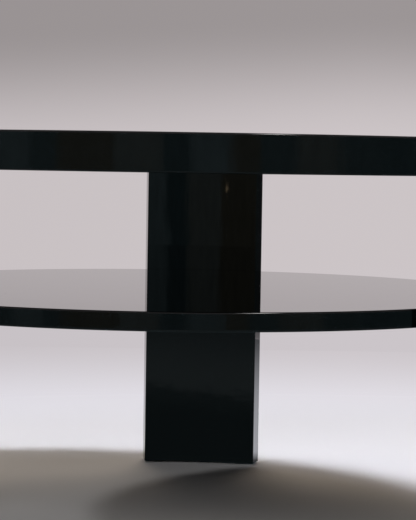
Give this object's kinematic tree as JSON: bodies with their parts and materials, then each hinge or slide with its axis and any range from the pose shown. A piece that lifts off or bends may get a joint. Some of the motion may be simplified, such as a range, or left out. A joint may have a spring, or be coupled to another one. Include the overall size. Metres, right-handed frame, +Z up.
{
  "type": "round cocktail table",
  "caption": "Round low table with a thick top, a lower round shelf and curved slab legs, all in black gloss lacquer.",
  "frame": {"origin": "on the floor, on the table's vertical axis", "axes": "+Z up, +Y from the axis towards the back leg, +X to the right when looking along +Y"},
  "size_m": [0.8129, 0.813, 0.432],
  "materials": {
    "lacquer": "black high-gloss lacquer over board and bent laminate",
    "beech": "plain turned beech, not finished",
    "steel": "bright steel",
    "brass": "plain turned brass",
    "zinc": "bright zinc plate",
    "black_plastic": "black moulded plastic"
  },
  "bodies": {
    "root": {"tabletop_upper_board": "lacquer", "tabletop_lower_board": "lacquer", "tabletop_screws": "zinc", "tabletop_screw_caps": "black_plastic", "shelf_board": "lacquer", "leg_back": "lacquer", "back_leg_inserts": "brass", "back_leg_bolts": "steel", "back_leg_washers": "steel", "back_top_dowels": "beech", "back_shelf_dowels": "beech", "back_cam_bolts": "steel", "back_cam_locks": "zinc", "back_cam_caps": "black_plastic", "back_glide_pads": "black_plastic", "back_glide_nails": "steel", "leg_left": "lacquer", "left_leg_inserts": "brass", "left_leg_bolts": "steel", "left_leg_washers": "steel", "left_top_dowels": "beech", "left_shelf_dowels": "beech", "left_cam_bolts": "steel", "left_cam_locks": "zinc", "left_cam_caps": "black_plastic", "left_glide_pads": "black_plastic", "left_glide_nails": "steel", "leg_right": "lacquer", "right_leg_inserts": "brass", "right_leg_bolts": "steel", "right_leg_washers": "steel", "right_top_dowels": "beech", "right_shelf_dowels": "beech", "right_cam_bolts": "steel", "right_cam_locks": "zinc", "right_cam_caps": "black_plastic", "right_glide_pads": "black_plastic", "right_glide_nails": "steel"}
  },
  "joints": []
}
